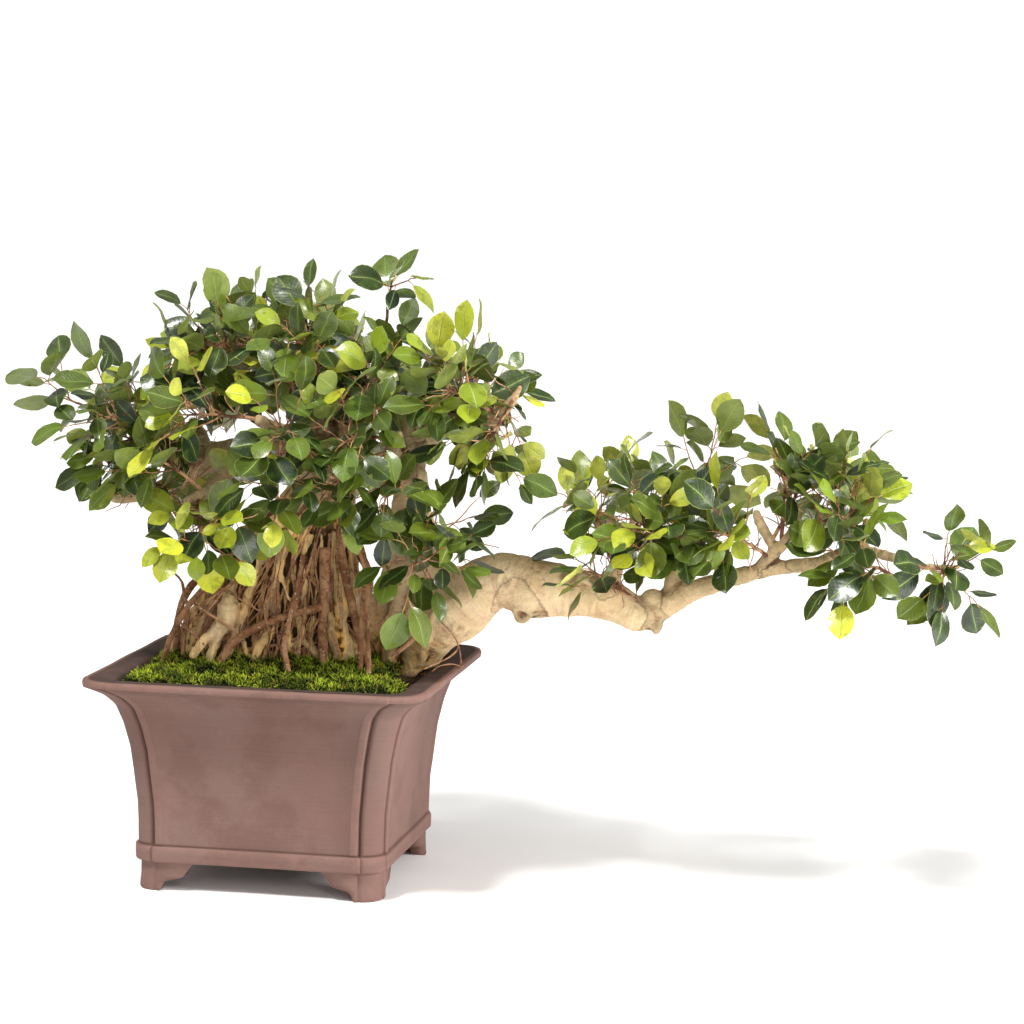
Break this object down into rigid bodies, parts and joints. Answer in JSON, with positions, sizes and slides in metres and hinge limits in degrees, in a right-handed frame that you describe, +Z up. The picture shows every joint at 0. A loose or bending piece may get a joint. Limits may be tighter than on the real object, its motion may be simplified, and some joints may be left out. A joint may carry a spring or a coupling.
{
  "type": "chinese banyan bonsai",
  "caption": "Chinese banyan bonsai with a fluted root mass and a long sideways branch, in a square purple-brown clay pot with bracket feet.",
  "frame": {"origin": "middle of the whole part's bounding box in plan, at the undersides of the pot's feet", "axes": "+X along the long sideways branch, +Y away from the front of the tree, +Z up"},
  "size_m": [0.976, 0.4304, 0.6275],
  "materials": {
    "clay": "unglazed, fine grained",
    "screen": "matte",
    "gravel": "rough",
    "soil": "damp, crumbly",
    "moss": "soft, matte",
    "bark": "smooth bark, faintly ringed",
    "leaf": "glossy, leathery"
  },
  "bodies": {
    "root": {"pot": "clay", "drain_screen": "screen", "drainage_gravel": "gravel", "soil": "soil", "moss": "moss", "tree_wood": "bark", "leafy_spray_01": "leaf", "leafy_spray_02": "leaf", "leafy_spray_03": "leaf", "leafy_spray_04": "leaf", "leafy_spray_05": "leaf", "leafy_spray_06": "leaf", "leafy_spray_07": "leaf", "leafy_spray_08": "leaf", "leafy_spray_09": "leaf", "leafy_spray_10": "leaf", "leafy_spray_11": "leaf", "leafy_spray_12": "leaf", "leafy_spray_13": "leaf", "leafy_spray_14": "leaf", "leafy_spray_15": "leaf", "leafy_spray_16": "leaf", "leafy_spray_17": "leaf", "leafy_spray_18": "leaf", "leafy_spray_19": "leaf", "leafy_spray_20": "leaf", "leafy_spray_21": "leaf", "leafy_spray_22": "leaf", "leafy_spray_23": "leaf", "leafy_spray_24": "leaf", "leafy_spray_25": "leaf", "leafy_spray_26": "leaf", "leafy_spray_27": "leaf", "leafy_spray_28": "leaf", "leafy_spray_29": "leaf", "leafy_spray_30": "leaf", "leafy_spray_31": "leaf", "leafy_spray_32": "leaf", "leafy_spray_33": "leaf", "leafy_spray_34": "leaf", "leafy_spray_35": "leaf", "leafy_spray_36": "leaf", "leafy_spray_37": "leaf", "leafy_spray_38": "leaf", "leafy_spray_39": "leaf", "leafy_spray_40": "leaf", "leafy_spray_41": "leaf", "leafy_spray_42": "leaf", "leafy_spray_43": "leaf", "leafy_spray_44": "leaf", "leafy_spray_45": "leaf", "leafy_spray_46": "leaf", "leafy_spray_47": "leaf", "leafy_spray_48": "leaf", "leafy_spray_49": "leaf", "leafy_spray_50": "leaf", "leafy_spray_51": "leaf", "leafy_spray_52": "leaf", "leafy_spray_53": "leaf", "leafy_spray_54": "leaf"}
  },
  "joints": []
}
